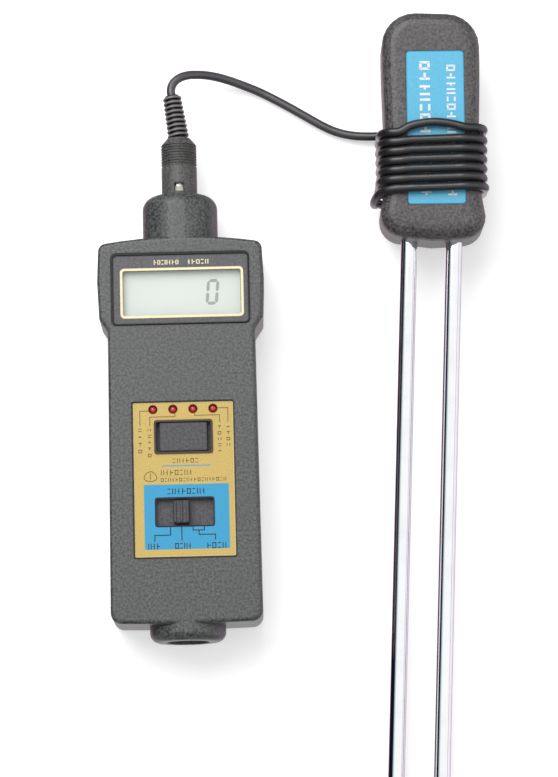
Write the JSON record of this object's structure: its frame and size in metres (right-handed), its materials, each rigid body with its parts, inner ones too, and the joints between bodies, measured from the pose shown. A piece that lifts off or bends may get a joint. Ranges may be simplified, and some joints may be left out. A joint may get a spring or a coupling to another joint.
{
  "type": "grain moisture meter",
  "caption": "Hand-held grain moisture meter with a display head, select button and function switch, and a two-rod probe on a lead that is wound round the probe handle.",
  "frame": {"origin": "centre of the meter's rear face, which it lies on", "axes": "+X to the right of the display, +Y along the meter towards the probe socket, +Z out of the display"},
  "size_m": [0.1425, 0.3523, 0.0349],
  "materials": {
    "case_plastic": "moulded grey-black plastic with a fine texture",
    "window": "smooth tinted window with a clear middle",
    "lcd": "pale reflective display",
    "dark_plastic": "black moulded plastic",
    "pale_plastic": "natural nylon",
    "elastomer": "silicone strip",
    "board": "solder mask",
    "steel": "plain steel",
    "chrome": "polished chrome plate",
    "gold_label": "printed foil label",
    "blue_label": "printed foil label",
    "lamp_red": "coloured clear resin",
    "battery_jacket": "printed metal jacket",
    "brass": "plated contacts",
    "wire_red": "wire insulation",
    "cable_rubber": "flexible cable jacket",
    "button_grey": "moulded grey plastic"
  },
  "bodies": {
    "meter": {"rear_cover": "case_plastic", "front_cover": "case_plastic", "display_window": "window", "lcd_glass": "lcd", "lcd_holder": "dark_plastic", "contact_strips": "elastomer", "main_board": "board", "main_chip": "dark_plastic", "board_parts": "dark_plastic", "board_screws": "steel", "case_screws": "steel", "face_label": "gold_label", "indicator_lamps": "lamp_red", "button_switch": "dark_plastic", "slide_switch": "steel", "socket_shell": "steel", "socket_core": "dark_plastic", "socket_contacts": "brass", "socket_wires": "wire_red", "end_plug": "dark_plastic", "batteries": "battery_jacket", "battery_plates": "steel", "battery_springs": "steel", "battery_leads": "wire_red"},
    "battery_door": {"battery_door": "case_plastic"},
    "select_button": {"select_button": "button_grey", "button_plunger": "pale_plastic"},
    "switch_knob": {"switch_knob": "button_grey", "switch_slider": "pale_plastic"},
    "probe": {"plug_sleeve": "dark_plastic", "plug_shell": "steel", "plug_insulator": "dark_plastic", "plug_pins": "brass", "plug_latch": "steel", "plug_boot": "cable_rubber", "cable_lead": "cable_rubber", "cable_winding": "cable_rubber", "cable_tail": "cable_rubber", "cable_grommet": "cable_rubber", "cable_clamp": "pale_plastic", "handle_front_shell": "case_plastic", "handle_rear_shell": "case_plastic", "handle_label": "blue_label", "handle_screws": "steel", "rod_block": "pale_plastic", "electrode_rod_left": "chrome", "electrode_rod_right": "chrome", "rod_nuts": "steel", "rod_terminals": "brass", "terminal_wires": "wire_red"}
  },
  "joints": [
    {"name": "door_slide", "type": "slide", "parent": "meter", "child": "battery_door", "axis": [0, -1, 0], "range_m": [0, 0.012]},
    {"name": "button_press", "type": "slide", "parent": "meter", "child": "select_button", "axis": [0, 0, -1], "range_m": [0, 0.0008], "stiffness_N_per_m": 600, "springref_m": -0.0008},
    {"name": "knob_slide", "type": "slide", "parent": "meter", "child": "switch_knob", "axis": [1, 0, 0], "range_m": [-0.004, 0.008]},
    {"name": "plug_pull", "type": "slide", "parent": "meter", "child": "probe", "axis": [0, 1, 0], "range_m": [0, 0.013]}
  ]
}
